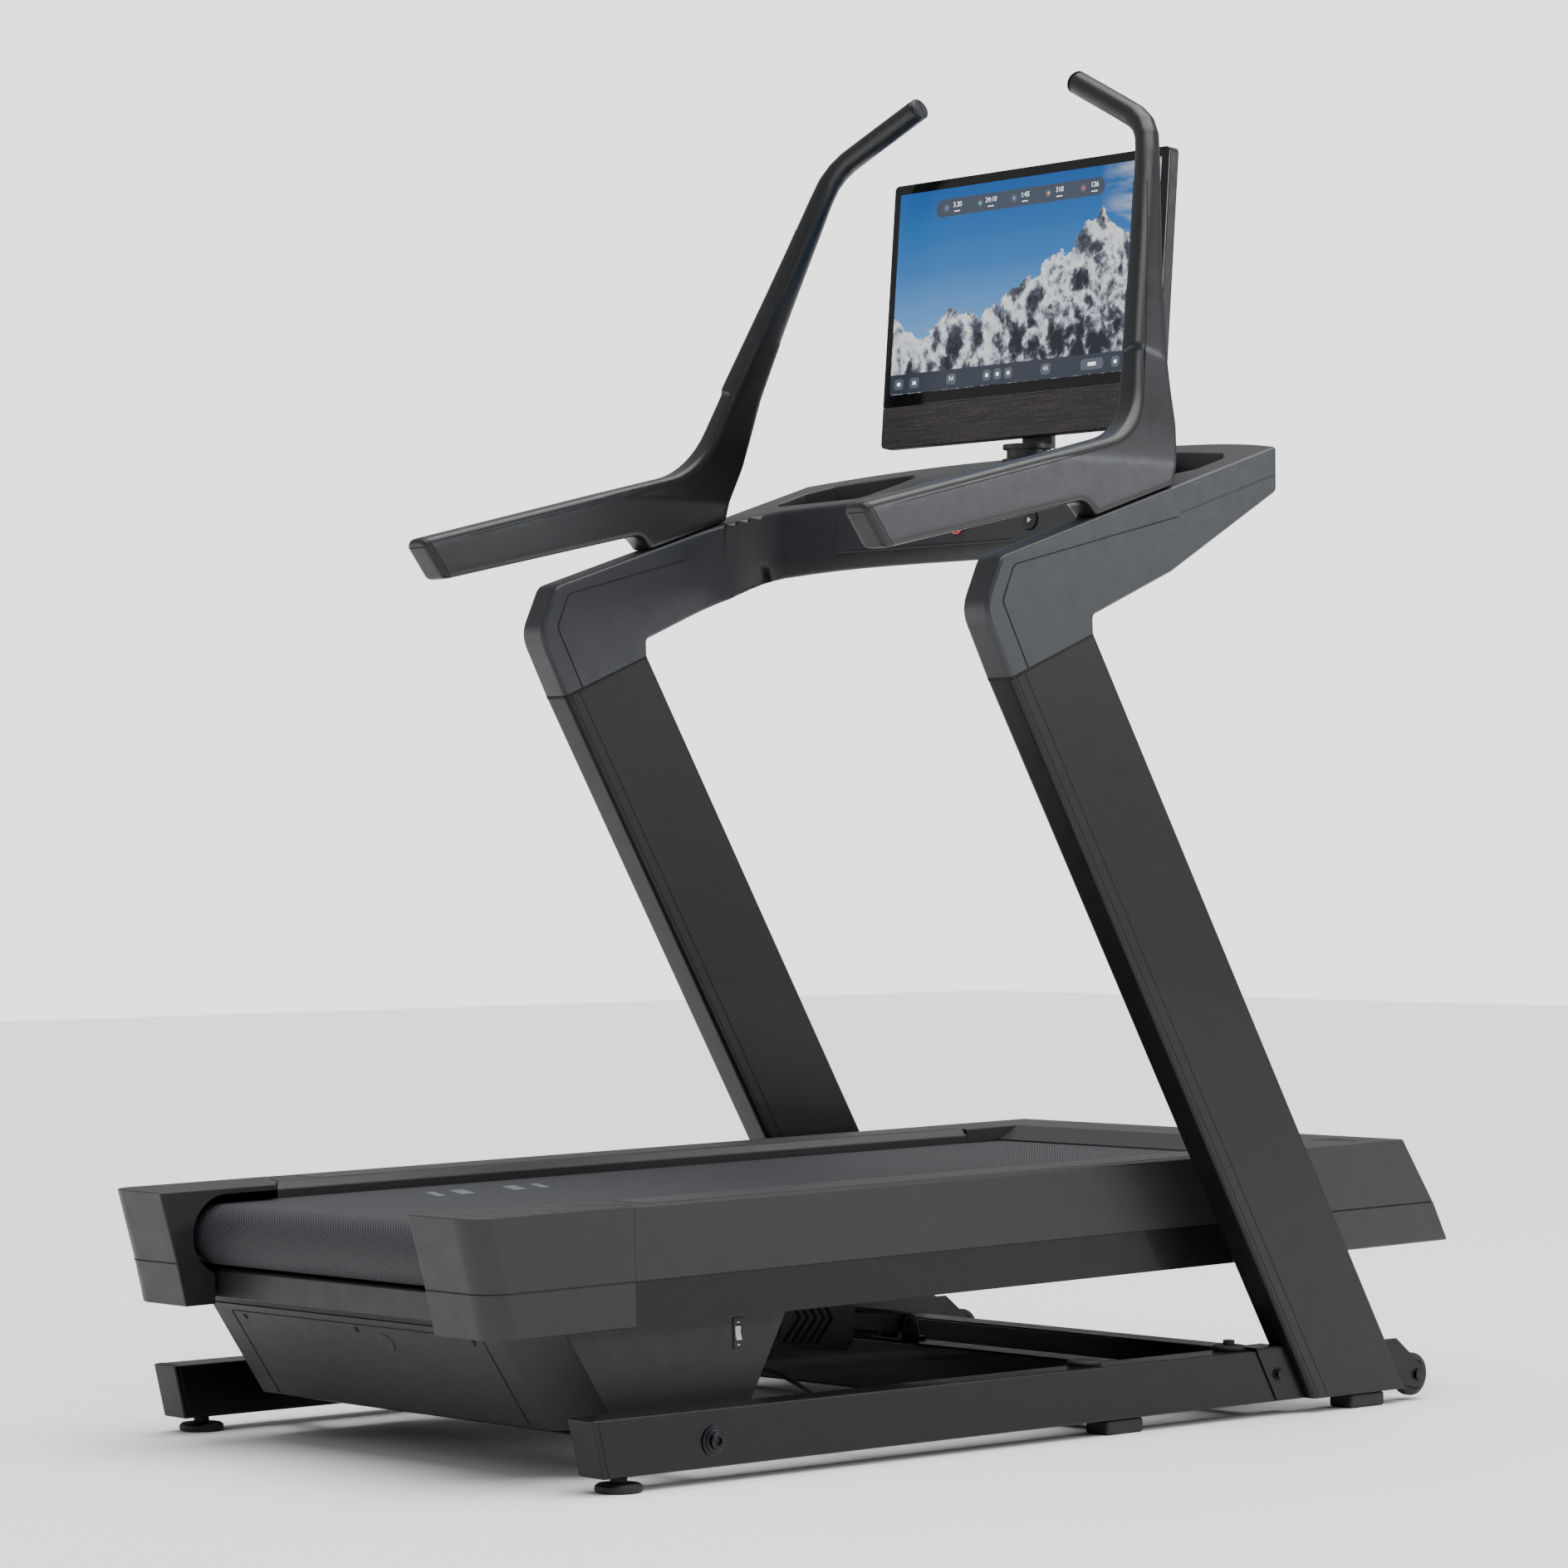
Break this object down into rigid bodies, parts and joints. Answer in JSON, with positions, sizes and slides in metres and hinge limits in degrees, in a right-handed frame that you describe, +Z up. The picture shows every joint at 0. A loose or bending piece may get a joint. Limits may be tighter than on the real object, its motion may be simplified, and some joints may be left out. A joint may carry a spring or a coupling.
{
  "type": "treadmill",
  "caption": "Incline treadmill with leaning uprights, tall handles, tray console, swivelling display and a hinged running deck raised by a linear actuator.",
  "frame": {"origin": "centre of the footprint on the floor", "axes": "+Y towards the front (console and motor hood), +X to the user's right, +Z up"},
  "size_m": [0.9544, 1.7901, 1.8677],
  "materials": {
    "black_steel": "satin powder coat",
    "charcoal_plastic": "fine moulded texture",
    "dark_plastic": "satin",
    "rubber": "matte",
    "belt_surface": "fine dimple texture",
    "bare_steel": "machined",
    "board": "waxed",
    "screen_glass": "gloss",
    "speaker_cloth": "woven",
    "red_plastic": "gloss",
    "green_plastic": "gloss",
    "light_plastic": "gloss"
  },
  "bodies": {
    "base": {"base_rail_right": "black_steel", "base_rail_left": "black_steel", "front_cross_tube": "black_steel", "mid_cross_tube": "black_steel", "mid_foot_right": "rubber", "mid_foot_left": "rubber", "front_foot_right": "rubber", "front_foot_left": "rubber", "upright_right": "black_steel", "upright_left": "black_steel", "wheel_bracket_right": "black_steel", "wheel_bracket_left": "black_steel", "pivot_bolt_right": "bare_steel", "pivot_bolt_left": "bare_steel", "actuator_clevis": "black_steel", "console_shell": "charcoal_plastic", "control_panel": "dark_plastic", "tray_liner_right": "rubber", "tray_liner_left": "rubber", "handle_right": "charcoal_plastic", "handle_left": "charcoal_plastic", "handle_end_cap_right": "dark_plastic", "handle_end_cap_left": "dark_plastic", "handle_tip_plug_right": "dark_plastic", "handle_tip_plug_left": "dark_plastic"},
    "deck": {"deck_rail_right": "black_steel", "deck_rail_left": "black_steel", "lift_frame": "black_steel", "deck_board": "board", "running_belt": "belt_surface", "side_cover_right": "charcoal_plastic", "side_cover_left": "charcoal_plastic", "end_cap_right": "charcoal_plastic", "end_cap_left": "charcoal_plastic", "end_cap_lower_right": "dark_plastic", "end_cap_lower_left": "dark_plastic", "motor_hood": "charcoal_plastic", "hood_lower": "charcoal_plastic", "belly_cover": "dark_plastic", "rear_channel": "black_steel", "drive_motor": "bare_steel", "drive_belt": "rubber", "harness": "rubber"},
    "display_neck": {"display_stem": "charcoal_plastic"},
    "display": {"display_housing": "dark_plastic", "display_glass": "screen_glass", "speaker_bar": "speaker_cloth"},
    "front_roller": {"front_roller": "bare_steel"},
    "rear_roller": {"rear_roller": "bare_steel"},
    "motor_pulley": {"motor_pulley": "bare_steel"},
    "power_rocker": {"power_rocker": "light_plastic"},
    "lift_motor": {"lift_motor": "dark_plastic"},
    "lift_rod": {"lift_rod": "bare_steel"},
    "start_button": {"start_button": "green_plastic"},
    "stop_button": {"stop_button": "red_plastic"},
    "safety_key": {"safety_key": "red_plastic"},
    "leveler_right": {"leveler_right": "rubber"},
    "wheel_right": {"wheel_right": "rubber"},
    "leveler_left": {"leveler_left": "rubber"},
    "wheel_left": {"wheel_left": "rubber"}
  },
  "joints": [
    {"name": "incline", "type": "hinge", "parent": "base", "child": "deck", "pos_m": [0, -0.577, 0.053], "axis": [1, 0, 0], "range_deg": [-4.2, 21], "deforming": ["harness"]},
    {"name": "actuator_swing", "type": "hinge", "parent": "base", "child": "lift_motor", "pos_m": [0, 0.17, 0.115], "axis": [1, 0, 0], "range_deg": [-0.3, 1.2]},
    {"name": "rod_extend", "type": "slide", "parent": "lift_motor", "child": "lift_rod", "axis": [0, -0.9959, 0.0904], "range_m": [-0.0105, 0.05]},
    {"name": "front_roller_spin", "type": "hinge", "parent": "deck", "child": "front_roller", "pos_m": [0, 0.6648, 0.29643], "axis": [1, 0, 0], "continuous": true},
    {"name": "rear_roller_spin", "type": "hinge", "parent": "deck", "child": "rear_roller", "pos_m": [0, -0.78906, 0.27663], "axis": [1, 0, 0], "continuous": true},
    {"name": "motor_pulley_spin", "type": "hinge", "parent": "deck", "child": "motor_pulley", "pos_m": [-0.312, 0.78002, 0.28149], "axis": [1, 0, 0], "continuous": true},
    {"name": "power_rocker_rock", "type": "hinge", "parent": "deck", "child": "power_rocker", "pos_m": [0.348, -0.43954, 0.16688], "axis": [0, 0.9999, 0.0136], "range_deg": [0, 12]},
    {"name": "display_swivel", "type": "hinge", "parent": "base", "child": "display_neck", "pos_m": [0, 0.43, 1.336], "axis": [0, 0, 1], "range_deg": [-90, 90]},
    {"name": "display_tilt", "type": "hinge", "parent": "display_neck", "child": "display", "pos_m": [0, 0.45422, 1.45], "axis": [1, 0, 0], "range_deg": [-10, 9]},
    {"name": "start_button_press", "type": "slide", "parent": "base", "child": "start_button", "axis": [0, 0.9934, -0.1149], "range_m": [0, 0.002], "stiffness_N_per_m": 600},
    {"name": "stop_button_press", "type": "slide", "parent": "base", "child": "stop_button", "axis": [0, 0.9934, -0.1149], "range_m": [0, 0.002], "stiffness_N_per_m": 600},
    {"name": "safety_key_pull", "type": "slide", "parent": "base", "child": "safety_key", "axis": [0, -0.9934, 0.1149], "range_m": [0, 0.03]},
    {"name": "wheel_spin_right", "type": "hinge", "parent": "base", "child": "wheel_right", "pos_m": [0.4535, 0.726, 0.036], "axis": [1, 0, 0], "continuous": true},
    {"name": "leveler_turn_right", "type": "hinge", "parent": "base", "child": "leveler_right", "pos_m": [0.4356, -0.708, 0], "axis": [0, 0, 1], "range_deg": [-180, 180]},
    {"name": "wheel_spin_left", "type": "hinge", "parent": "base", "child": "wheel_left", "pos_m": [-0.4535, 0.726, 0.036], "axis": [1, 0, 0], "continuous": true},
    {"name": "leveler_turn_left", "type": "hinge", "parent": "base", "child": "leveler_left", "pos_m": [-0.4356, -0.708, 0], "axis": [0, 0, 1], "range_deg": [-180, 180]}
  ],
  "couplings": [
    {"joint": "actuator_swing", "follows": "incline", "ratio": 0.042},
    {"joint": "rod_extend", "follows": "incline", "m_per_rad": 0.1275},
    {"joint": "rear_roller_spin", "follows": "front_roller_spin", "ratio": 1},
    {"joint": "motor_pulley_spin", "follows": "front_roller_spin", "ratio": 2.2}
  ]
}
